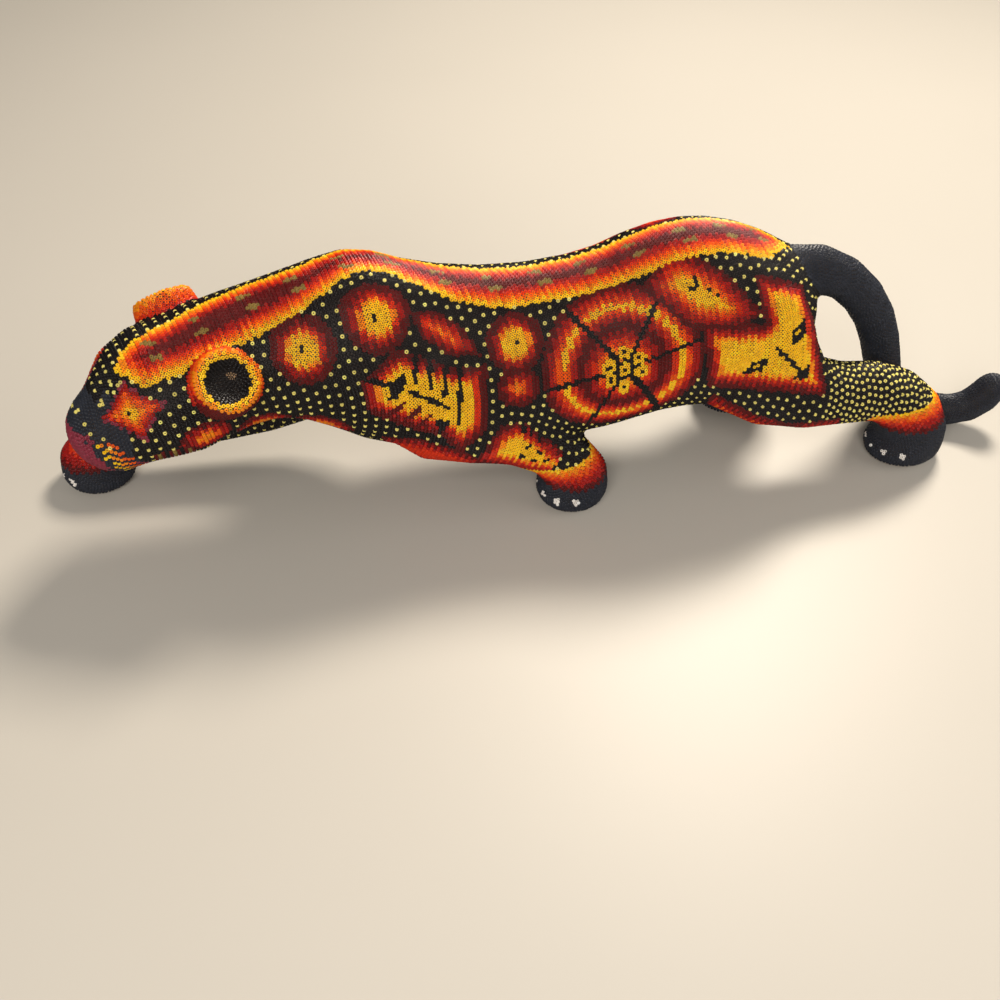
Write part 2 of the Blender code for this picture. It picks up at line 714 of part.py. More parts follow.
    def leg_beadwork(self):
        """Paw, cuff and sleeve round each leg, and a coat over its upper end."""
        half = CLEARANCE / 2
        for leg in self.legs:
            loft, around = leg.loft, leg.angles
            paw = coat("paw", loft, 0, leg.cuff, around, slides=(SOLE_LIFT, half))
            cuff = coat("cuff", loft, leg.cuff, leg.cuff_end, around, slides=(half, half))
            sleeve = coat("sleeve", loft, leg.cuff_end, leg.joint, around, slides=(half, half))
            upper = coat("upper", loft, leg.joint, leg.top, around, slides=(half, 0.0))
            for piece in (cuff, sleeve, upper):
                self.cope(piece, CLEARANCE)
            self.keep(paw, leg.name + "_paw_beadwork", "black")
            self.keep(cuff, leg.name + "_cuff_beadwork", "yellow")
            self.keep(sleeve, leg.name + "_sleeve_beadwork", "dark")
            self.keep(upper, leg.upper_name + "_beadwork", "red")

    def ear_beadwork(self):
        """A shell over each ear's back and rim, and a lining in its bowl."""
        for name, root, axis in self.ear_frames:
            shell = ear_shell("shell", root, axis)
            self.cope(shell, CLEARANCE)
            self.keep(shell, name + "_beadwork", "yellow")
            lining = ear_lining("lining", root, axis)
            self.cope(lining, CLEARANCE)
            self.keep(lining, name + "_lining", "black")

    def tail_beadwork(self):
        """One coat from the rump to the rounded tip."""
        tail = coat("tail", self.tail, 0, self.tail.count - 1, self.tail_around, closed=(False, True))
        self.cope(tail, CLEARANCE)
        self.keep(tail, "tail_beadwork", "black")

    def centre_on_floor(self):
        """Slide every piece so that the origin is under the middle of the box."""
        points = [vert.co for obj in self.pieces.values() for vert in obj.data.vertices]
        low = Vector([min(point[axis] for point in points) for axis in range(3)])
        high = Vector([max(point[axis] for point in points) for axis in range(3)])
        shift = Vector(((low.x + high.x) / 2, (low.y + high.y) / 2, low.z))
        for obj in self.pieces.values():
            for vert in obj.data.vertices:
                vert.co -= shift


def main():
    clear_scene()
    figure = Figure()
    figure.wood()
    figure.spine_beadwork()
    figure.leg_beadwork()
    figure.ear_beadwork()
    figure.tail_beadwork()
    figure.centre_on_floor()


main()
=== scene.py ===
import heapq
import json
import math

import bmesh
import bpy
import numpy as np
from mathutils import Matrix, Vector, kdtree
from mathutils.bvhtree import BVHTree


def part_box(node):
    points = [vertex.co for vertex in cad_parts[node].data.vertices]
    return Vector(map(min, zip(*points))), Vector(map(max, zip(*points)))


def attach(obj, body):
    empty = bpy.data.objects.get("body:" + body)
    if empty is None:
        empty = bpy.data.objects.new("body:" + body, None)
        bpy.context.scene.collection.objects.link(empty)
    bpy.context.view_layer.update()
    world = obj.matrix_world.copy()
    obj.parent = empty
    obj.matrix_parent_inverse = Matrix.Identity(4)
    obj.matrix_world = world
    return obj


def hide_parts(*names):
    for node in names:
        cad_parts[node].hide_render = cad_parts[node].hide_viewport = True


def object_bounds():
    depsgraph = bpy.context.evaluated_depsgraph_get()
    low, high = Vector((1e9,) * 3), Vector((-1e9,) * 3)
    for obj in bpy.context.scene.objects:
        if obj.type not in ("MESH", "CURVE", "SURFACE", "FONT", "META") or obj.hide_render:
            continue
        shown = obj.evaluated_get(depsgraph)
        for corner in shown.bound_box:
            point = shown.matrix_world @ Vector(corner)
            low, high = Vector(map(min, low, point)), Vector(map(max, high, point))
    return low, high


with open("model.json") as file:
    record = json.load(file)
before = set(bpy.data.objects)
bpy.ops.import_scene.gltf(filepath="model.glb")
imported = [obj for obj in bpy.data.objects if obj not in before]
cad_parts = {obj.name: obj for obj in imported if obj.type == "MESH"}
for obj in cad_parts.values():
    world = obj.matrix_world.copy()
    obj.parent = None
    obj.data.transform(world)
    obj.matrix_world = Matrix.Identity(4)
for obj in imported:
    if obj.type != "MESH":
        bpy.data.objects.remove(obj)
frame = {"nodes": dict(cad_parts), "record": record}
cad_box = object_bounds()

MM = 0.001

# ---- Camera.  It stands off the figure's left shoulder, above it, and looks down across
# the back.  Heading turns from +Y towards +X, pitch is up from straight down, and the
# last angle rolls it about its own line of sight.
CAMERA_PLACE = Vector((-113.76, -421.54, 440.0)) * MM
CAMERA_HEADING, CAMERA_PITCH, CAMERA_ROLL = -11.45, 42.24, 0.914
camera_data = bpy.data.cameras.new("camera")
camera_data.lens = camera_data.sensor_width = 36.0
camera = bpy.data.objects.new("camera", camera_data)
bpy.context.scene.collection.objects.link(camera)
aim = Matrix.Identity(4)
for angle, axis in ((CAMERA_HEADING, "Z"), (CAMERA_PITCH, "X"), (CAMERA_ROLL, "Z")):
    aim = aim @ Matrix.Rotation(math.radians(angle), 4, axis)
camera.matrix_world = Matrix.Translation(CAMERA_PLACE) @ aim
bpy.context.scene.camera = camera
bpy.context.scene.view_settings.view_transform = "Standard"


# ---- Floor and light.  A plain painted shelf, a broad warm lamp high behind the
# figure's right shoulder, and two softer ones in front.
class Socket:
    """One output of a shader node, so that sums are written as Python expressions."""

    def __init__(self, tree, link):
        self.tree, self.link = tree, link

    def node(self, kind, settings=None, **inputs):
        """Adds any other node: its settings first, then the values or links of its sockets."""
        new = self.tree.nodes.new(kind)
        for name, value in (settings or {}).items():
            setattr(new, name, value)
        for name, value in inputs.items():
            key = int(name[1:]) if name[0] == "i" and name[1:].isdigit() else name.replace("_", " ")
            if isinstance(value, Socket):
                self.tree.links.new(value.link, new.inputs[key])
            else:
                new.inputs[key].default_value = value
        return new

    def math(self, operation, first, second):
        made = self.node("ShaderNodeMath", {"operation": operation}, i0=first, i1=second)
        return Socket(self.tree, made.outputs[0])

    def __add__(self, other):
        return self.math("ADD", self, other)

    def __mul__(self, other):
        return self.math("MULTIPLY", self, other)

    __radd__ = __add__
    __rmul__ = __mul__


class Finish:
    """A material with one Principled shader, and a Socket for each thing that varies."""

    def __init__(self, name, **constants):
        self.material = bpy.data.materials.new(name)
        self.material.use_nodes = True
        self.tree = self.material.node_tree
        self.shader = self.tree.nodes["Principled BSDF"]
        for key, value in constants.items():
            self.shader.inputs[key.replace("_", " ")].default_value = value
        place = self.tree.nodes.new("ShaderNodeTexCoord")
        self.place = Socket(self.tree, place.outputs["Object"])

    def feed(self, name, value):
        """Joins what varies to one of the shader's sockets."""
        self.tree.links.new(value.link, self.shader.inputs[name])

    def noise(self, scale, detail=3.0):
        """Mottling, from 0 to 1, that gets finer as the scale goes up."""
        made = self.place.node("ShaderNodeTexNoise", Vector=self.place, Scale=scale, Detail=detail)
        return Socket(self.tree, made.outputs["Fac"])

    def mix(self, share, first, second):
        """A colour between two others."""
        made = self.place.node("ShaderNodeMix", {"data_type": "RGBA"}, i0=share, i6=first, i7=second)
        return Socket(self.tree, made.outputs[2])

    def bump(self, height, strength, distance):
        """Fine relief, that height times the distance deep."""
        made = self.place.node("ShaderNodeBump", Height=height, Strength=strength, Distance=distance)
        self.feed("Normal", Socket(self.tree, made.outputs[0]))


SHELF_HALF = 3.0
SHELF_DULL, SHELF_CLEAN = (0.47, 0.445, 0.40, 1.0), (0.53, 0.50, 0.455, 1.0)
shelf = Finish("painted_shelf", Roughness=0.45)
shelf.feed("Base Color", shelf.mix(shelf.noise(2.0), SHELF_DULL, SHELF_CLEAN))
shelf.bump(shelf.noise(60.0), 0.05, MM)

bm = bmesh.new()
bmesh.ops.create_grid(bm, x_segments=1, y_segments=1, size=SHELF_HALF)
floor_mesh = bpy.data.meshes.new("shelf")
bm.to_mesh(floor_mesh)
bm.free()
floor = bpy.data.objects.new("shelf", floor_mesh)
floor.data.materials.append(shelf.material)
bpy.context.scene.collection.objects.link(floor)

WARM, SOFT = (1.0, 0.90, 0.76), (1.0, 0.95, 0.88)
LAMPS_AIM = Vector((0.0, 0.0, 0.06))
for name, place, size, power, colour in (
    ("key", (0.50, 0.62, 1.15), 0.35, 24.0, WARM),
    ("front", (-0.45, -1.1, 1.0), 0.9, 15.5, SOFT),
    ("side", (1.1, -0.5, 0.8), 0.9, 5.0, SOFT),
):
    lamp_data = bpy.data.lights.new(name, "AREA")
    lamp_data.shape = "SQUARE"
    lamp_data.size = size
    lamp_data.energy = power
    lamp_data.color = colour
    lamp = bpy.data.objects.new(name, lamp_data)
    lamp.location = place
    lamp.rotation_euler = (LAMPS_AIM - Vector(place)).to_track_quat("-Z", "Y").to_euler()
    bpy.context.scene.collection.objects.link(lamp)
world = bpy.data.worlds.new("room")
world.use_nodes = True
world.node_tree.nodes["Background"].inputs["Color"].default_value = (*SOFT, 1.0)
world.node_tree.nodes["Background"].inputs["Strength"].default_value = 0.20
bpy.context.scene.world = world

# ---- Carved wood.  The trunk, head, legs, ears and tail are light hardwood cut with a
# knife and rasped, and the dowels are turned; only the soles of the paws stay bare.
WOOD_PALE, WOOD_DARK = (0.50, 0.31, 0.16, 1.0), (0.30, 0.17, 0.08, 1.0)
DOWEL_PALE, DOWEL_DARK = (0.62, 0.45, 0.27, 1.0), (0.45, 0.30, 0.16, 1.0)
ALONG_THE_GRAIN = (0.12, 1.0, 1.0)      # the pattern is drawn out along the figure


def wood(name, pale, dark, fineness):
    """Grain that runs along the figure, with fine pores across it."""
    finish = Finish(name, Specular_IOR_Level=0.3)
    stretch = finish.place.node("ShaderNodeMapping", Vector=finish.place, Scale=ALONG_THE_GRAIN)
    drawn_out = Socket(finish.tree, stretch.outputs[0])
    grain = finish.place.node(
        "ShaderNodeTexNoise", Vector=drawn_out, Scale=fineness, Detail=5.0, Distortion=0.6)
    grain = Socket(finish.tree, grain.outputs["Fac"])
    pores = finish.noise(1500.0, 2.0)
    finish.feed("Base Color", finish.mix(grain, dark, pale))
    finish.feed("Roughness", 0.5 + pores * 0.3)
    finish.bump(grain + pores * 0.5, 0.3, 0.0004)
    return finish.material


carved = wood("carved_hardwood", WOOD_PALE, WOOD_DARK, 180.0)
turned = wood("turned_dowel", DOWEL_PALE, DOWEL_DARK, 260.0)
for name, node in frame["nodes"].items():
    if name.endswith(("_core", "_dowel")):
        node.data.materials.clear()
        node.data.materials.append(turned if name.endswith("_dowel") else carved)

# ---- Wax bed.  Beeswax softened in the hand and pressed over the whole carving as a
# skin; it rounds every join between limb and body, and the beads are bedded in it.
WAX_GRAIN = 1.8 * MM         # how finely the skin is shaped
WAX_BELOW = 0.95 * MM        # from the top of the beads down to the wax
SMOOTHINGS = 5               # passes of the thumb over the skin
SOLE_HEIGHT = 0.25 * MM      # the skin stops this far above the shelf

bm = bmesh.new()
for node in frame["nodes"].values():
    bm.from_mesh(node.data)
bmesh.ops.remove_doubles(bm, verts=bm.verts, dist=1e-6)
wax_mesh = bpy.data.meshes.new("wax_bed")
bm.to_mesh(wax_mesh)
bm.free()
wax = bpy.data.objects.new("wax_bed", wax_mesh)
bpy.context.scene.collection.objects.link(wax)
remesh = wax.modifiers.new("skin", "REMESH")
remesh.mode = "VOXEL"
remesh.voxel_size = WAX_GRAIN
wax.data = bpy.data.meshes.new_from_object(wax.evaluated_get(bpy.context.evaluated_depsgraph_get()))
wax.modifiers.clear()
wax.data.name = "wax_bed"


def largest_island(bm):
    """Removes everything but the largest connected sheet of faces."""
    unseen = set(bm.verts)
    islands = []
    while unseen:
        queue = [unseen.pop()]
        island = list(queue)
        while queue:
            for edge in queue.pop().link_edges:
                for vert in edge.verts:
                    if vert in unseen:
                        unseen.remove(vert)
                        queue.append(vert)
                        island.append(vert)
        islands.append(island)
    islands.sort(key=len, reverse=True)
    for island in islands[1:]:
        bmesh.ops.delete(bm, geom=island, context="VERTS")


bm = bmesh.new()
bm.from_mesh(wax.data)
largest_island(bm)
for _ in range(SMOOTHINGS):
    bmesh.ops.smooth_vert(
        bm, verts=bm.verts, factor=0.5, use_axis_x=True, use_axis_y=True, use_axis_z=True)
bm.normal_update()
sunk = [(vert, vert.co - vert.normal * WAX_BELOW) for vert in bm.verts]
for vert, place in sunk:
    vert.co = place
    vert.co.z = max(vert.co.z, SOLE_HEIGHT)
bmesh.ops.triangulate(bm, faces=bm.faces)
bm.normal_update()
bm.to_mesh(wax.data)
wax_tree = BVHTree.FromBMesh(bm)
bm.free()
wax.data.shade_smooth()

WAX_DARK, WAX_PALE = (0.010, 0.006, 0.004, 1.0), (0.030, 0.015, 0.007, 1.0)
wax_finish = Finish("beeswax", Specular_IOR_Level=0.35)
wax_finish.feed("Base Color", wax_finish.mix(wax_finish.noise(220.0), WAX_DARK, WAX_PALE))
wax_finish.feed("Roughness", 0.42 + wax_finish.noise(500.0) * 0.25)
wax_finish.bump(wax_finish.noise(900.0), 0.4, 0.0003)
wax.data.materials.clear()
wax.data.materials.append(wax_finish.material)
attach(wax, "root")

# ---- Rows of beads.  The maker starts at the nose and lays row after row round the
# body, each a bead's width from the last, pushing every bead down hole upwards with a
# needle, and nudging it until it nests against its neighbours.
BEAD_PITCH = 2.08 * MM       # from one bead to the next along a row
ROW_PITCH = 1.84 * MM        # from one row to the next
TOO_CLOSE = 1.45 * MM        # a bead this near to an earlier one is left out
NUDGES = 7                   # times that the whole coat is gone over
NUDGE_SHARE = 0.4            # of the overlap between two beads that one nudge takes up
BEAD_RADIUS = 1.06 * MM


def past_edge(here, first, second, first_far, second_far):
    """Distance at a corner, when the front crosses the triangle from the other two."""
    one, two = first - here, second - here
    square_one, square_two, both = one.dot(one), two.dot(two), one.dot(two)
    spread = square_one * square_two - both * both
    if spread <= 0.0:
        return math.inf
    a, b, c = square_two / spread, -both / spread, square_one / spread
    total = a + 2 * b + c
    middle = (a + b) * first_far + (b + c) * second_far
    square = a * first_far ** 2 + 2 * b * first_far * second_far + c * second_far ** 2
    inside = middle ** 2 - total * (square - 1)
    if inside < 0.0:
        return math.inf
    far = (middle + math.sqrt(inside)) / total
    lean_one = a * (first_far - far) + b * (second_far - far)
    lean_two = b * (first_far - far) + c * (second_far - far)
    return far if lean_one < 0.0 and lean_two < 0.0 else math.inf


def distance_from(places, triangles, start):
    """Shortest way over the wax from one corner to every other."""
    around = [[] for _ in places]
    for a, b, c in triangles:
        around[a].append((b, c))
        around[b].append((c, a))
        around[c].append((a, b))
    far = [math.inf] * len(places)
    settled = [False] * len(places)
    far[start] = 0.0
    queue = [(0.0, start)]
    while queue:
        _, near = heapq.heappop(queue)
        if settled[near]:
            continue
        settled[near] = True
        for pair in around[near]:
            for here, other in (pair, pair[::-1]):
                if settled[here]:
                    continue
                found = far[near] + (places[here] - places[near]).length
                if settled[other]:
                    across = past_edge(places[here], places[near], places[other], far[near], far[other])
                    found = min(found, across)
                if found < far[here]:
                    far[here] = found
                    heapq.heappush(queue, (found, here))
    return far


def level_lines(triangles, far):
    """For each row, the chains of edges that it crosses."""
    links = {}
    for corners in triangles:
        heights = [far[corner] for corner in corners]
        first, last = math.ceil(min(heights) / ROW_PITCH), math.floor(max(heights) / ROW_PITCH)
        for row in range(first, last + 1):
            level = row * ROW_PITCH
            ends = []
            for a, b in ((0, 1), (1, 2), (2, 0)):
                if (heights[a] < level) != (heights[b] < level):
                    ends.append((row, min(corners[a], corners[b]), max(corners[a], corners[b])))
            if len(ends) == 2:
                links.setdefault(ends[0], []).append(ends[1])
                links.setdefault(ends[1], []).append(ends[0])
    seen = set()
    for start in links:
        if start in seen:
            continue
        chain = [start]
        seen.add(start)
        while True:
            ahead = [end for end in links[chain[-1]] if end not in seen]
            if not ahead:
                break
            chain.append(ahead[0])
            seen.add(ahead[0])
        yield chain


def lay_rows(places, triangles, far):
    """A bead's place, row and number in its row, for every bead."""
    beads, rows, numbers = [], [], []
    for chain in level_lines(triangles, far):
        row = chain[0][0]
        line = []
        for _, a, b in chain + chain[:1]:
            share = (row * ROW_PITCH - far[a]) / (far[b] - far[a])
            line.append(places[a].lerp(places[b], share))
        line = np.array(line)
        run = np.concatenate(([0.0], np.cumsum(np.linalg.norm(np.diff(line, axis=0), axis=1))))
        count = round(run[-1] / BEAD_PITCH)
        if count < 1:
            continue
        stops = (np.arange(count) + 0.5 * (row % 2)) * run[-1] / count
        beads.append(np.stack([np.interp(stops, run, line[:, axis]) for axis in range(3)], axis=1))
        rows += [row] * count
        numbers += range(count)
    return np.concatenate(beads), np.array(rows), np.array(numbers)


def tree_of(places):
    """The beads sorted by where they lie, to find a bead's neighbours quickly."""
    tree = kdtree.KDTree(len(places))
    for index, place in enumerate(places):
        tree.insert(place, index)
    tree.balance()
    return tree


def thin_out(places):
    """Leaves out each bead that crowds an earlier one."""
    tree = tree_of(places)
    kept = np.ones(len(places), bool)
    for index, place in enumerate(places):
        if kept[index]:
            for _, other, _ in tree.find_range(place, TOO_CLOSE):
                if other > index:
                    kept[other] = False
    return kept


def nudge(places):
    """Pushes crowded beads apart, and back down onto the wax."""
    tree = tree_of(places)
    moved = []
    for place in places:
        here = Vector(place)
        push = Vector()
        for other, _, apart in tree.find_range(here, BEAD_PITCH):
            if apart > 0.0:
                push += (here - other) * ((BEAD_PITCH - apart) / apart * NUDGE_SHARE)
        moved.append(wax_tree.find_nearest(here + push)[0])
    return np.array(moved)


wax_places = [vert.co.copy() for vert in wax.data.vertices]
wax_triangles = [tuple(face.vertices) for face in wax.data.polygons]
low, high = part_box("nose_beadwork")
nose = Vector((low.x, (low.y + high.y) / 2, (low.z + high.z) / 2))
nose_tip = wax_triangles[wax_tree.find_nearest(nose)[2]][0]
from_nose = distance_from(wax_places, wax_triangles, nose_tip)
beads, rows, numbers = lay_rows(wax_places, wax_triangles, from_nose)
kept = thin_out(beads)
beads, rows, numbers = beads[kept], rows[kept], numbers[kept]
for _ in range(NUDGES):
    beads = nudge(beads)

smooth_normals = np.array([vert.normal for vert in wax.data.vertices])
facing = []
for place in beads:
    _, _, face, _ = wax_tree.find_nearest(Vector(place))
    facing.append(smooth_normals[list(wax_triangles[face])].mean(axis=0))
facing = np.array(facing)
facing /= np.linalg.norm(facing, axis=1)[:, None]

# The field that each bead lies in, from the nearest coat of the model.
coats = [name for name in frame["nodes"] if name.endswith(("_beadwork", "_lining"))]
field_corners, field_faces, field_owner = [], [], []
for owner, name in enumerate(coats):
    mesh = frame["nodes"][name].data
    start = len(field_corners)
    field_corners += [vert.co.copy() for vert in mesh.vertices]
    for face in mesh.polygons:
        field_faces.append([start + corner for corner in face.vertices])
        field_owner.append(owner)
field_tree = BVHTree.FromPolygons(field_corners, field_faces)
field = np.array([field_owner[field_tree.find_nearest(Vector(place) + Vector(normal) * WAX_BELOW)[2]]
                  for place, normal in zip(beads, facing)])


def of_field(*words):
    """True for beads in any field whose name has one of the words."""
    return np.isin(field, [index for index, name in enumerate(coats) if any(word in name for word in words)])


# The soles stay bare: no bead faces the shelf close to it, and none at a paw's edge touches it.
FACES_DOWN, SOLE_CLEARANCE = -0.6, 2.6 * MM
lowest = np.where(facing[:, 2] < FACES_DOWN, SOLE_CLEARANCE, BEAD_RADIUS + 0.1 * MM)
above = beads[:, 2] > lowest
beads, rows, numbers, facing, field = (part[above] for part in (beads, rows, numbers, facing, field))

# ---- Glass.  Opaque seed beads in a dozen colours, sorted in saucers before the work.
# Designs are counted out in them; on the flanks they are set out on a plane that leans
# back, and the far flank repeats the near one.  All places below are in millimetres.
GLASS = {
    "black": (0.006, 0.005, 0.006),
    "dot": (0.86, 0.74, 0.20),
    "yellow": (0.95, 0.53, 0.012),
    "gold": (0.90, 0.26, 0.006),
    "orange": (0.84, 0.105, 0.004),
    "vermilion": (0.66, 0.030, 0.004),
    "red": (0.37, 0.007, 0.005),
    "garnet": (0.115, 0.003, 0.004),
    "olive": (0.24, 0.16, 0.035),
    "slate": (0.022, 0.026, 0.038),
    "mauve": (0.26, 0.030, 0.055),
    "white": (0.88, 0.84, 0.80),
}
glass_names = list(GLASS)
x, y, z = (beads / MM).T
LEAN = math.radians(40.0)
flank_up = z * math.cos(LEAN) - np.abs(y) * math.sin(LEAN)
on_flank = np.stack([x, flank_up], axis=1)
from_above = np.stack([x, y], axis=1)
near_side = np.stack([x, -np.abs(y), z], axis=1)
uneven = 0.75 * (2 * (rows % 2) - 1)    # every other row of a border runs on a little further
paint = np.zeros(len(beads), int)


def lay(where, colour):
    """Gives some beads one colour, or each its own from an array of numbers."""
    paint[where] = glass_names.index(colour) if isinstance(colour, str) else colour[where]


def graded(depth, *steps):
    """Colours by depth: each step is (how deep it reaches, its colour)."""
    limits = [reach for reach, _ in steps]
    order = np.array([glass_names.index(colour) for _, colour in steps])
    return order[np.clip(np.searchsorted(limits, depth), 0, len(steps) - 1)]


def to_line(points, start, end):
    """Distance from a straight line between two places."""
    start, end = np.array(start, float), np.array(end, float)
    along = end - start
    share = np.clip(((points - start) @ along) / (along @ along), 0.0, 1.0)
    return np.linalg.norm(points - start - share[:, None] * along, axis=1)


def depth_in(points, outline):
    """Distance in from a closed outline, less than nothing outside it."""
    inside = np.zeros(len(points), bool)
    nearest = np.full(len(points), np.inf)
    for start, end in zip(outline, outline[1:] + outline[:1]):
        nearest = np.minimum(nearest, to_line(points, start, end))
        crosses = (start[1] > points[:, 1]) != (end[1] > points[:, 1])
        slope = (end[0] - start[0]) / ((end[1] - start[1]) or 1e-9)
        reach = start[0] + (points[:, 1] - start[1]) * slope
        inside ^= crosses & (points[:, 0] < reach)
    return np.where(inside, nearest, -nearest)


def on_the_wax(across, up):
    """The point of the left flank at that place along and above the shelf, in mm."""
    hit = wax_tree.ray_cast(Vector((across * MM, -0.2, up * MM)), Vector((0, 1, 0)))[0]
    return np.array(hit) / MM


def panel(points, outline, *steps, only=True):
    """A filled shape, with its colours in borders from the outline inwards."""
    depth = depth_in(points, outline)
    lay((depth > 0.0) & only, graded(depth + uneven, *steps))


def bar(points, start, end, half_width, colour="black", only=True):
    """A straight line of beads; a very short one is a dot."""
    lay((to_line(points, start, end) < half_width) & only, colour)


# ---- Ground.  Black glass all over, with single pale beads dropped in by count: every
# third bead of every third row, and every second one of every second row on the hind legs.
body = of_field(
    "flank", "shoulder", "thigh", "belly", "rump", "sleeve", "cuff", "band", "face", "throat")
spaced = (rows % 3 == 0) & ((numbers + (rows // 3) % 2) % 3 == 0)
close = (rows % 2 == 0) & ((numbers + (rows // 2) % 2) % 2 == 0)
hind_sleeves = of_field("hindleg_sleeve", "hindleg_cuff")
lay(body & spaced & ~hind_sleeves, "dot")
lay(hind_sleeves & close, "dot")

# ---- Flowers.  Peyote flowers in glass beads, faintly six-sided, laid outwards from one
# black bead: yellow, gold, red, garnet.  A small plain one sits under the last.
FLOWER = 17.0                # radius of a flower as it is drawn, before its own size is given
trunk_and_head = ~of_field("tail", "ear", "paw", "cuff", "nose", "muzzle")
for across, up, radius in ((-133.4, 129.3, 17.0), (-96.2, 140.4, 17.5), (-28.2, 119.1, 15.5)):
    apart = np.linalg.norm(near_side - on_the_wax(across, up), axis=1)
    turn = np.arctan2(flank_up - up * math.cos(LEAN), x - across)
    reach = apart * (1 + 0.05 * np.cos(6 * turn)) / radius * FLOWER
    petals = graded(reach + uneven, (1.2, "black"), (7.5, "yellow"), (9.3, "gold"), (10.6, "vermilion"),
                    (13.0, "red"), (FLOWER, "garnet"))
    lay((reach < FLOWER) & trunk_and_head, petals)
apart = np.linalg.norm(near_side - on_the_wax(-28.1, 97.9), axis=1)
petals = graded(apart + uneven, (2.0, "gold"), (4.2, "orange"), (7.5, "red"), (11.5, "garnet"))
lay((apart < 11.5) & trunk_and_head, petals)

# ---- Wheel.  The largest design of glass beads, in the middle of each flank: rings that
# fade from yellow to garnet twice over, a ring of six small flowers at the hub, and six
# black spokes, two of them thicker.
WHEEL = 43.0                 # radius over the last ring
SPOKE = 45.0                 # a spoke runs just past it
HUB = (28.0, 51.0)           # the middle, on the flank's leaning plane
apart = np.linalg.norm(near_side - on_the_wax(27.1, 103.5), axis=1)
wheel = (apart < WHEEL) & of_field("flank", "belly", "shoulder", "thigh", "sleeve")
lay(wheel, graded(
    apart + uneven, (11.0, "gold"), (13.5, "orange"), (16.0, "vermilion"), (19.5, "red"), (24.5, "garnet"),
    (27.0, "red"), (28.5, "vermilion"), (30.0, "orange"), (33.0, "yellow"), (35.0, "orange"),
    (37.0, "vermilion"), (39.5, "red"), (WHEEL, "garnet")))
from_hub = on_flank - HUB


def turned_to(degrees, along, up):
    """A place round the origin, at an angle, on an oval that is so long and so tall."""
    return along * math.cos(math.radians(degrees)), up * math.sin(math.radians(degrees))


for degrees, half_width in ((131, 1.5), (63, 1.1), (16, 1.0), (-45, 1.6), (-121, 1.1), (-171, 1.1)):
    bar(from_hub, (0.0, 0.0), turned_to(degrees, SPOKE, SPOKE), half_width, only=wheel)
for degrees in (92, 39, -12, -90, -145, 166):
    petal = np.linalg.norm(from_hub - turned_to(degrees, 8.9, 8.6), axis=1)
    lay((petal < 3.6) & wheel, graded(petal, (1.2, "black"), (3.6, "yellow")))
middle = np.linalg.norm(from_hub, axis=1)
lay((middle < 5.3) & wheel, graded(middle, (1.2, "black"), (3.6, "yellow"), (5.3, "black")))

# ---- Panels of glass beads on each flank, every one bordered in garnet, red and orange:
# a slanted leaf, the shoulder's yellow field of black bars, the hip leaf, and the
# haunch's bent field with an arrow and two eyes.
panel(on_flank, [(-80, 91), (-66, 90), (-54, 81), (-46, 66), (-62, 68), (-76, 79)],
      (2.2, "garnet"), (4.2, "red"), (6.0, "vermilion"), (7.5, "orange"), (12.0, "gold"), only=trunk_and_head)

INNERMOST = 60.0             # deeper than any panel goes
FADE = ((3.0, "garnet"), (5.0, "red"), (6.5, "vermilion"), (8.2, "gold"), (INNERMOST, "yellow"))
torso = of_field("flank", "shoulder", "thigh", "belly", "rump", "sleeve", "band")
panel(on_flank, [(-108, 60), (-88, 74), (-74, 68), (-60, 61), (-44, 62), (-45, 29), (-60, 17), (-70, 28),
                 (-83, 32.5), (-98.5, 41), (-107, 46)], *FADE, only=torso)
for start, end, half_width in (
    ((-79.5, 74), (-81, 57), 1.2), ((-72.5, 69), (-74, 54), 1.2), ((-65, 65), (-66.5, 49), 1.2),
    ((-58, 62), (-60, 34), 1.3), ((-108, 62), (-94, 57), 1.0), ((-83, 52), (-65, 42), 1.1),
    ((-70, 36), (-70, 31), 1.8), ((-66, 35), (-70, 32), 1.6),
):
    bar(on_flank, start, end, half_width, only=torso)
for start, end in (((-98, 41), (-86.5, 47.5)), ((-91, 36.5), (-79.5, 43.5)), ((-82.5, 32.5), (-74, 40))):
    bar(on_flank, start, end, 1.0, "garnet", only=torso)
lay((depth_in(on_flank, [(-94, 58), (-87, 62), (-86, 57), (-91, 49), (-95, 50)]) > 0.0) & torso, "black")

panel(on_flank, [(38, 90), (52, 107), (66, 104), (80, 95), (101, 71), (82, 64), (60, 68)],
      (3.0, "garnet"), (6.0, "red"), (8.2, "vermilion"), (10.0, "orange"), (11.5, "gold"),
      (INNERMOST, "yellow"), only=torso)
for start, end in (
    ((65, 93), (65, 89)), ((62.5, 87), (64, 87)), ((71, 86.4), (71.1, 85.6)), ((75.5, 83), (75.6, 82.4)),
):
    bar(on_flank, start, end, 1.25, only=torso)

panel(on_flank, [(97, 92), (128, 84), (146, 23), (75, 37), (66, 69), (102, 66)], *FADE, only=torso)
bar(on_flank, (110, 53), (127, 38), 1.2, only=torso)
for outline in (
    [(122, 35), (131, 43), (132, 34)],
    [(126.5, 67), (117, 61), (119, 53), (127, 59)],
    [(93, 41), (98, 47), (108, 48), (104, 42)],
):
    lay((depth_in(on_flank, outline) > 0.0) & torso, "black")
for eye in ((121.8, 60), (100.6, 44.4)):
    bar(on_flank, eye, (eye[0] + 0.1, eye[1]), 1.1, "yellow", only=torso)

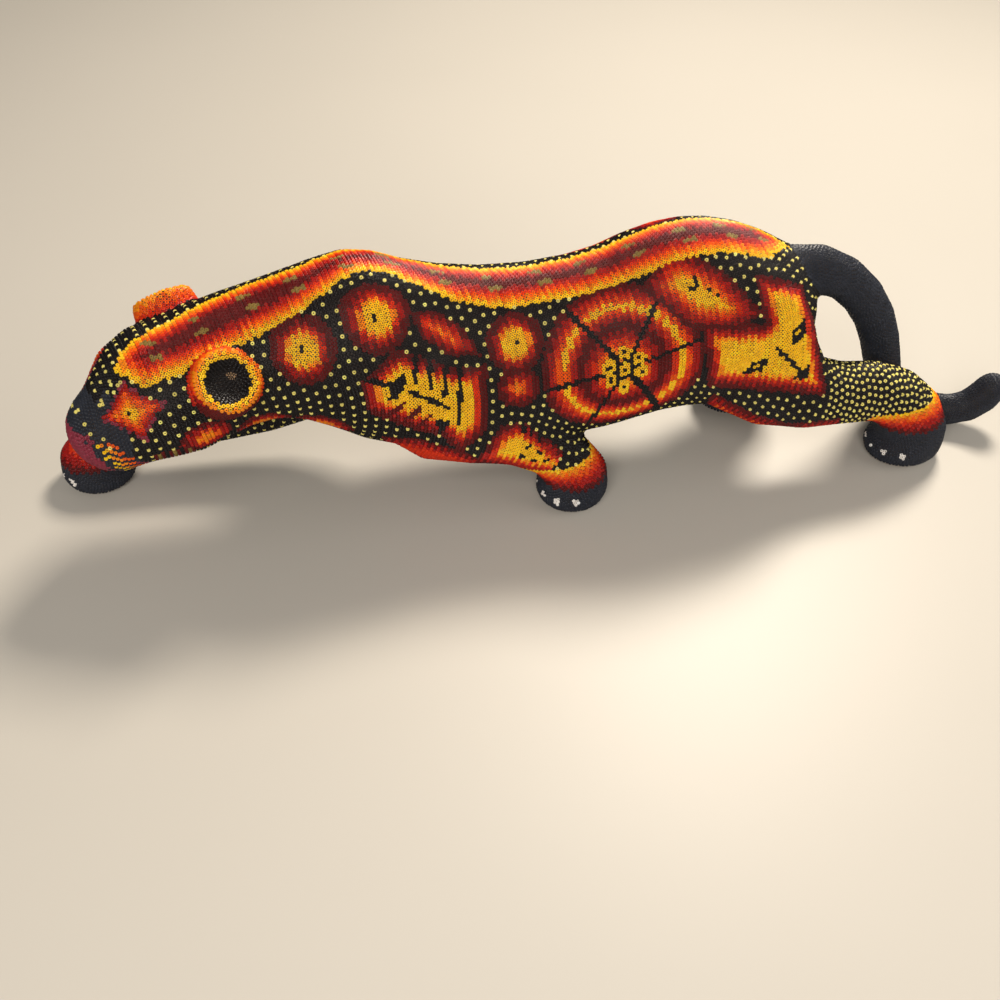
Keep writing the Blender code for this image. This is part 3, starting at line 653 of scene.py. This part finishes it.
# ---- Under the panels, red strips of glass beads along the belly below the shoulder and
# the thigh, and three small orange and red patches under the neck.
panel(on_flank, [(-100, 31), (-80, 27), (-62, 19), (-48, 12), (-58, 3), (-80, 12), (-98, 22)],
      (2.0, "garnet"), (4.0, "red"), (20.0, "vermilion"), only=torso)
panel(on_flank, [(80, 34), (92, 26), (106, 18), (130, 9), (160, 9), (160, -2), (128, -2), (100, 6), (84, 20)],
      (2.0, "garnet"), (4.0, "red"), (5.0, "orange"), (20.0, "red"),
      only=of_field("thigh", "belly", "hindleg_sleeve"))
under_neck = of_field("face", "throat", "flank", "belly", "shoulder")
for across, up, radius in ((-186.5, 90.0, 10.0), (-160.0, 84.0, 11.0), (-128.0, 80.0, 11.0)):
    apart = np.linalg.norm((near_side - on_the_wax(across, up)) * (0.7, 1.0, 1.0), axis=1)
    patch = graded(apart + uneven, (3.0, "gold"), (5.0, "orange"), (8.0, "red"), (11.0, "garnet"))
    lay((apart < radius) & under_neck, patch)

# ---- Left foreleg.  A yellow patch of glass beads, bordered like the panels, runs down to
# the cuff; it has five black marks, and three black bars come down into it.
foreleg = of_field("left_foreleg_sleeve", "left_shoulder")
panel(on_flank, [(-52, 10), (-38, 29), (-24, 29), (-10, 16), (4, 4), (2, -8), (-20, -2)],
      (2.4, "garnet"), (4.8, "red"), (6.4, "vermilion"), (8.0, "gold"), (INNERMOST, "yellow"), only=foreleg)
for across, up in ((-24, 15), (-27, 10), (-18, 11), (-21, 7), (-14, 6)):
    bar(on_flank, (across, up), (across + 1.5, up), 1.2, only=foreleg)
for across, up in ((-25, 34), (-20.5, 32), (-16, 29)):
    bar(on_flank, (across, up), (across, up - 11), 1.0, only=foreleg)

# ---- Back band.  One long stripe of glass beads from the forehead to the tail: a yellow
# border, then gold, orange and red in to garnet, with pairs of olive blocks down the middle.
BAND = [
    (-209.7, -35.6), (-187.8, -29.5), (-157.7, -23.2), (-129.7, -19.0), (-114, -12), (-100, -5), (-85, -4),
    (-72, -8.5), (-56, -14.6), (-31, -18), (-7, -16.5), (18, -17), (40, -18), (60, -16.7), (80, -15.8),
    (109, -14.7), (128, 2), (109, 15), (80, 14), (40, 12), (0, 12), (-31, 11), (-56, 14), (-85, 22),
    (-100, 22), (-129.7, 11), (-157.7, 12), (-183, 6), (-207, -4), (-221, -14), (-224.5, -23.4),
]
BLOCKS = ((-206, -18), (-183, -9), (-158, -3.5), (-134, -3), (-110, 3), (-87, 10), (-61, 1), (-36, -2.5),
          (-10, -1), (14, -0.5), (39, -1.5), (65, -2), (88, 0), (108, 3))
BLOCK_HALF = 2.2
on_top = (facing[:, 2] > 0.3) & of_field("band", "flank", "shoulder", "thigh", "face", "rump", "muzzle")
panel(from_above, BAND, (2.6, "yellow"), (4.6, "gold"), (6.4, "orange"), (8.2, "vermilion"), (11.5, "red"),
      (INNERMOST, "garnet"), only=on_top)
for across, side in BLOCKS:
    for slide, step in ((-1.5, 4.4), (2.5, -4.4)):
        ends = ((across + slide + end, side + step) for end in (-BLOCK_HALF, BLOCK_HALF))
        bar(from_above, *ends, 1.5, "olive", only=on_top)

# ---- Face.  Slate glass beads over the muzzle, a mauve nose, whisker rows at the lip, and
# a four-pointed star round a single black bead for each eye.  The head is turned a little,
# and its far half mirrors the near one about its own middle.
HEAD_MIDDLE, HEAD_TURN = np.array((-213.0, -13.0)), math.radians(24.0)
side_axis = np.array((-math.sin(HEAD_TURN), math.cos(HEAD_TURN)))
sideways = (from_above - HEAD_MIDDLE) @ side_axis
half_head = from_above - side_axis * (2 * np.maximum(sideways, 0.0))[:, None]
near_head = np.column_stack([half_head, z])
head = of_field("face", "muzzle", "nose", "throat")
front = head & (near_head[:, 0] < -198.0)
lay(of_field("muzzle", "nose"), "slate")
lay(of_field("nose") & (z < 97.0), "mauve")
snout = front & (near_head[:, 0] < -222.0) & (z < 114.0)
lay(snout & ~of_field("nose"), "slate")
lip = front & (z < 94.0) & (near_head[:, 0] < -208.0) & (near_head[:, 0] + 0.8 * z < -156.0)
behind_nose = near_head[:, 0] + 0.4 * (z - 88.0) + 240.0
lay(lip, graded(behind_nose + uneven, (-1.0, "mauve"), (2.0, "slate"), (5.5, "yellow"), (9.5, "gold"),
                (14.0, "orange"), (INNERMOST, "mauve")))
jaw = head & (z < 86.0) & (near_head[:, 0] > -216.0) & (near_head[:, 0] < -194.0)
lay(lip & (near_head[:, 0] > -238.0) & (numbers % 2 == 0), "slate")
lay(jaw & (rows % 2 == 0), "garnet")
lay(jaw & (rows % 4 == 1), "olive")
EYE = np.array((-218.2, -41.8, 110.8))
EYE_UP, EYE_BACK = np.array((-0.18, 0.51, 0.84)), np.array((0.95, -0.08, 0.30))
STAR_UP, STAR_BACK, STAR_HOLLOW = 11.5, 14.0, 0.8     # its reach both ways, and how its sides draw in
up_eye, along_eye = (near_head - EYE) @ EYE_UP, (near_head - EYE) @ EYE_BACK
star = np.abs(up_eye / STAR_UP) ** STAR_HOLLOW + np.abs(along_eye / STAR_BACK) ** STAR_HOLLOW + uneven * 0.05
near_eye = head & (np.linalg.norm(near_head - EYE, axis=1) < 24.0)
lay(near_eye & (star < 1.3), graded(star, (0.16, "black"), (0.42, "yellow"), (0.65, "gold"), (0.92, "orange"),
                                    (1.05, "vermilion"), (1.18, "red"), (1.3, "mauve")))
DOTS = ((-226.8, -27.9, 118.6), (-223.6, -29.8, 119.7), (-229.1, -30, 115), (-233.5, -31.2, 110.3),
        (-246.8, -28.4, 104), (-243.6, -35.3, 101.8), (-240.7, -39.5, 99.2), (-234.7, -42.5, 96.3),
        (-232.9, -44, 92))
for dot in DOTS:
    lay(head & (np.linalg.norm(near_head - np.array(dot), axis=1) < 1.7), "dot")

# ---- Ears.  Cupped wooden ears under wax and glass beads: a black bowl with a yellow rim,
# the outside fading from the rim through gold and orange to red, the back from the top down.
for name in ("left_ear", "right_ear"):
    low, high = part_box(name + "_lining")
    low_shell, high_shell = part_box(name + "_beadwork")
    shell = of_field(name + "_beadwork")
    opening = np.array((low + high) / 2 - (low_shell + high_shell) / 2)
    apart = np.linalg.norm(beads / MM - np.array((low + high) / 2) / MM, axis=1) + uneven * 0.5
    lay(shell, graded(apart, (13.6, "yellow"), (15.6, "gold"), (17.4, "orange"), (19.2, "vermilion"),
                      (22.0, "red"), (INNERMOST, "garnet")))
    from_top = high_shell.z / MM - z + uneven
    lay(shell & (facing @ opening < 0.0), graded(
        from_top, (4.0, "yellow"), (6.5, "gold"), (10.0, "orange"), (14.0, "vermilion"), (19.0, "red"),
        (INNERMOST, "garnet")))
    lay(of_field(name + "_lining"), graded(apart, (12.3, "black"), (INNERMOST, "yellow")))

# ---- Tail and paws.  The tail and the paws are slate beads alone; each leg ends in a cuff
# that fades from yellow to garnet, and each paw has four white claws of a few beads.
CLAW_HEIGHT = 11.5
lay(of_field("tail"), "slate")
lay(of_field("paw"), "slate")
for name, top, claws in (
    ("left_foreleg", 39.0, (170, 205, 235, 264)), ("right_foreleg", 38.0, (152, 178, 204, 230)),
    ("left_hindleg", 49.0, (160, 189, 217, 248)), ("right_hindleg", 47.0, (200, 171, 143, 112)),
):
    leg = of_field(name + "_paw", name + "_cuff", name + "_sleeve")
    low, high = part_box(name + "_paw_beadwork")
    middle, half = (low + high) / 2 / MM, (high - low) / 2 / MM
    cuff = leg & (z < top) & (np.abs(x - middle.x) < 40.0)
    lay(cuff, graded(top - z + uneven, (2.0, "yellow"), (4.5, "gold"), (7.5, "orange"), (10.5, "vermilion"),
                     (14.5, "red"), (18.5, "garnet"), (INNERMOST, "slate")))
    for degrees in claws:
        along, aside = turned_to(degrees, half.x, half.y)
        claw = np.array((middle.x + along, middle.y + aside, CLAW_HEIGHT))
        lay(leg & (np.linalg.norm((beads / MM - claw) * (1.0, 1.0, 0.7), axis=1) < 2.5), "white")

# ---- Seed beads.  Each is a short ring of glass, cut from a drawn tube and tumbled round,
# pressed into the wax hole up so that only its upper half shows; no two are quite the
# same size, shade or tilt.
BEAD_SIDES = 8
HOLE_RADIUS, CREST_RADIUS = 0.36 * MM, 0.74 * MM
profile = [(BEAD_RADIUS, -0.30 * MM), (CREST_RADIUS, 0.62 * MM), (HOLE_RADIUS, -0.05 * MM)]
bm = bmesh.new()
verts = [bm.verts.new((radius, 0.0, height)) for radius, height in profile]
for first, second in zip(verts, verts[1:]):
    bm.edges.new((first, second))
bmesh.ops.spin(
    bm, geom=bm.verts[:] + bm.edges[:], cent=(0, 0, 0), axis=(0, 0, 1), steps=BEAD_SIDES,
    angle=2 * math.pi, use_merge=True)
bmesh.ops.remove_doubles(bm, verts=bm.verts, dist=1e-7)
bmesh.ops.recalc_face_normals(bm, faces=bm.faces)
bead_mesh = bpy.data.meshes.new("seed_bead")
bm.to_mesh(bead_mesh)
bm.free()
if sum(face.normal.z for face in bead_mesh.polygons) < 0.0:
    bead_mesh.flip_normals()
bead_mesh.shade_smooth()
seed_bead = bpy.data.objects.new("seed_bead", bead_mesh)
bpy.context.scene.collection.objects.link(seed_bead)

pressing = bpy.data.node_groups.new("pressing", "GeometryNodeTree")
pressing.interface.new_socket("Geometry", in_out="INPUT", socket_type="NodeSocketGeometry")
pressing.interface.new_socket("Geometry", in_out="OUTPUT", socket_type="NodeSocketGeometry")
group_in, group_out = pressing.nodes.new("NodeGroupInput"), pressing.nodes.new("NodeGroupOutput")
ring = pressing.nodes.new("GeometryNodeObjectInfo")
ring.inputs["Object"].default_value = seed_bead
upright = pressing.nodes.new("GeometryNodeInputNamedAttribute")
upright.data_type = "FLOAT_VECTOR"
upright.inputs["Name"].default_value = "upright"
girth = pressing.nodes.new("GeometryNodeInputNamedAttribute")
girth.inputs["Name"].default_value = "girth"
align = pressing.nodes.new("FunctionNodeAlignRotationToVector")
align.axis = "Z"
place_beads = pressing.nodes.new("GeometryNodeInstanceOnPoints")
realise = pressing.nodes.new("GeometryNodeRealizeInstances")
for source, target in (
    (group_in.outputs[0], place_beads.inputs["Points"]),
    (ring.outputs["Geometry"], place_beads.inputs["Instance"]),
    (upright.outputs["Attribute"], align.inputs["Vector"]),
    (align.outputs["Rotation"], place_beads.inputs["Rotation"]),
    (girth.outputs["Attribute"], place_beads.inputs["Scale"]),
    (place_beads.outputs["Instances"], realise.inputs["Geometry"]),
    (realise.outputs["Geometry"], group_out.inputs[0]),
):
    pressing.links.new(source, target)

WAX_SMEAR = (0.02, 0.012, 0.008, 1.0)
glass = Finish("seed_bead_glass", IOR=1.5, Specular_IOR_Level=0.24)
tint = glass.place.node("ShaderNodeAttribute", {"attribute_name": "glass"})
cloud = glass.noise(700.0, 2.0)
glass.feed("Base Color", glass.mix(cloud * 0.12, Socket(glass.tree, tint.outputs["Color"]), WAX_SMEAR))
glass.feed("Roughness", 0.14 + cloud * 0.14)


BEAD_LIFT = 0.32 * MM        # from the wax to the middle of a bead
TILT, GIRTH, SHADE = 0.055, 0.03, 0.10   # how much beads differ, as a share
CELL_FILL = 0.8              # share of its own cell that a bead takes in the unwrapping
palette = np.array([GLASS[colour] for colour in glass_names])
bead_outline = np.array([bead_mesh.vertices[loop.vertex_index].co.xy for loop in bead_mesh.loops])
bead_outline = bead_outline / (2 * BEAD_RADIUS) * CELL_FILL + 0.5


def press(name, where, coat, slot):
    """Presses the chosen beads into the wax as one piece."""
    count = int(where.sum())
    draw = np.random.default_rng(len(name) * 1000 + count)
    tilt = facing[where] + draw.normal(0.0, TILT, (count, 3))
    girths = draw.normal(1.0, GIRTH, count).clip(0.92, 1.06)
    shade = palette[paint[where]] * draw.normal(1.0, SHADE, (count, 1)).clip(0.75, 1.25)
    colours = np.column_stack([shade.clip(0.0, 0.95), np.ones(count)])

    places = bpy.data.meshes.new(name + "_places")
    places.vertices.add(count)
    places.vertices.foreach_set("co", (beads[where] + facing[where] * BEAD_LIFT).ravel())
    for attribute, kind, key, values in (
        ("upright", "FLOAT_VECTOR", "vector", tilt),
        ("girth", "FLOAT", "value", girths),
        ("glass", "FLOAT_COLOR", "color", colours),
    ):
        places.attributes.new(attribute, kind, "POINT").data.foreach_set(key, values.ravel())
    carrier = bpy.data.objects.new(name + "_places", places)
    bpy.context.scene.collection.objects.link(carrier)
    carrier.modifiers.new("press", "NODES").node_group = pressing
    mesh = bpy.data.meshes.new_from_object(carrier.evaluated_get(bpy.context.evaluated_depsgraph_get()))
    bpy.data.objects.remove(carrier)
    mesh.name = name
    mesh.materials.clear()
    mesh.materials.append(glass.material)
    mesh.shade_smooth()

    across = math.ceil(math.sqrt(count))
    cells = np.stack([np.arange(count) % across, np.arange(count) // across], axis=1)
    layout = (cells[:, None, :] + bead_outline[None, :, :]) / across
    mesh.uv_layers.new(name="OFBake").data.foreach_set("uv", layout.ravel())
    piece = bpy.data.objects.new(name, mesh)
    bpy.context.scene.collection.objects.link(piece)
    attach(piece, "root")
    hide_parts(coat)


# ---- Beaded fields.  The maker finishes one patch of the carving at a time, wax and then
# glass beads, so each field is a piece of its own and takes the place of its plain coat.
slots = {part["node"]: part["material_slot"] for part in frame["record"]["subparts"]}
for index, coat in enumerate(coats):
    name = coat.replace("_beadwork", "").replace("_lining", "_bowl") + "_beads"
    press(name, field == index, coat, slots[coat])
bpy.data.objects.remove(seed_bead)

low, high = cad_box
